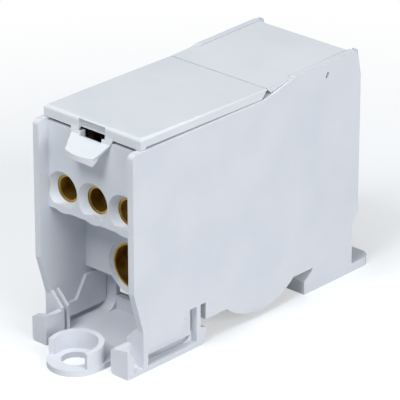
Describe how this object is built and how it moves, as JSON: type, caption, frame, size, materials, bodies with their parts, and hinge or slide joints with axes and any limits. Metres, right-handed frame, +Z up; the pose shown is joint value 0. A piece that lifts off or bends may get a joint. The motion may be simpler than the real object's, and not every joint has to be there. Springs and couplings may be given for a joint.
{
  "type": "power distribution block",
  "caption": "Single-pole power distribution block: moulded housing with hinged lid, stepped brass block, clamp screws, rail foot and screw lugs.",
  "frame": {"origin": "middle of the bounding box, on the base plane", "axes": "+X across the block to the side seen on the right, +Y from the end with the round lug to the rear, +Z up"},
  "size_m": [0.0288, 0.0866, 0.053],
  "materials": {
    "housing_plastic": "fine spark-eroded texture, satin",
    "cover_plastic": "fine spark-eroded texture, satin",
    "brass": "drilled and milled, uncoated",
    "zinc_plated_steel": "bright zinc plating"
  },
  "bodies": {
    "body": {"housing": "housing_plastic", "rear_cover": "cover_plastic", "terminal_block": "brass"},
    "lid": {"front_lid": "cover_plastic"},
    "port_screw_front_left_body": {"port_screw_front_left": "zinc_plated_steel"},
    "port_screw_front_middle_body": {"port_screw_front_middle": "zinc_plated_steel"},
    "port_screw_front_right_body": {"port_screw_front_right": "zinc_plated_steel"},
    "port_screw_rear_left_body": {"port_screw_rear_left": "zinc_plated_steel"},
    "port_screw_rear_middle_body": {"port_screw_rear_middle": "zinc_plated_steel"},
    "port_screw_rear_right_body": {"port_screw_rear_right": "zinc_plated_steel"},
    "main_screw_front_body": {"main_screw_front": "zinc_plated_steel"},
    "main_screw_rear_body": {"main_screw_rear": "zinc_plated_steel"}
  },
  "joints": [
    {"name": "lid_hinge", "type": "hinge", "parent": "body", "child": "lid", "pos_m": [0, 0.00813, 0.0523], "axis": [-1, 0, 0], "range_deg": [0, 165]},
    {"name": "port_screw_front_left_travel", "type": "slide", "parent": "body", "child": "port_screw_front_left_body", "axis": [0, 0, 1], "range_m": [-0.0034, 0]},
    {"name": "port_screw_front_middle_travel", "type": "slide", "parent": "body", "child": "port_screw_front_middle_body", "axis": [0, 0, 1], "range_m": [-0.0034, 0]},
    {"name": "port_screw_front_right_travel", "type": "slide", "parent": "body", "child": "port_screw_front_right_body", "axis": [0, 0, 1], "range_m": [-0.0034, 0]},
    {"name": "port_screw_rear_left_travel", "type": "slide", "parent": "body", "child": "port_screw_rear_left_body", "axis": [0, 0, 1], "range_m": [-0.0034, 0]},
    {"name": "port_screw_rear_middle_travel", "type": "slide", "parent": "body", "child": "port_screw_rear_middle_body", "axis": [0, 0, 1], "range_m": [-0.0034, 0]},
    {"name": "port_screw_rear_right_travel", "type": "slide", "parent": "body", "child": "port_screw_rear_right_body", "axis": [0, 0, 1], "range_m": [-0.0034, 0]},
    {"name": "main_screw_front_travel", "type": "slide", "parent": "body", "child": "main_screw_front_body", "axis": [0, 0, 1], "range_m": [-0.0076, 0]},
    {"name": "main_screw_rear_travel", "type": "slide", "parent": "body", "child": "main_screw_rear_body", "axis": [0, 0, 1], "range_m": [-0.0076, 0]}
  ]
}
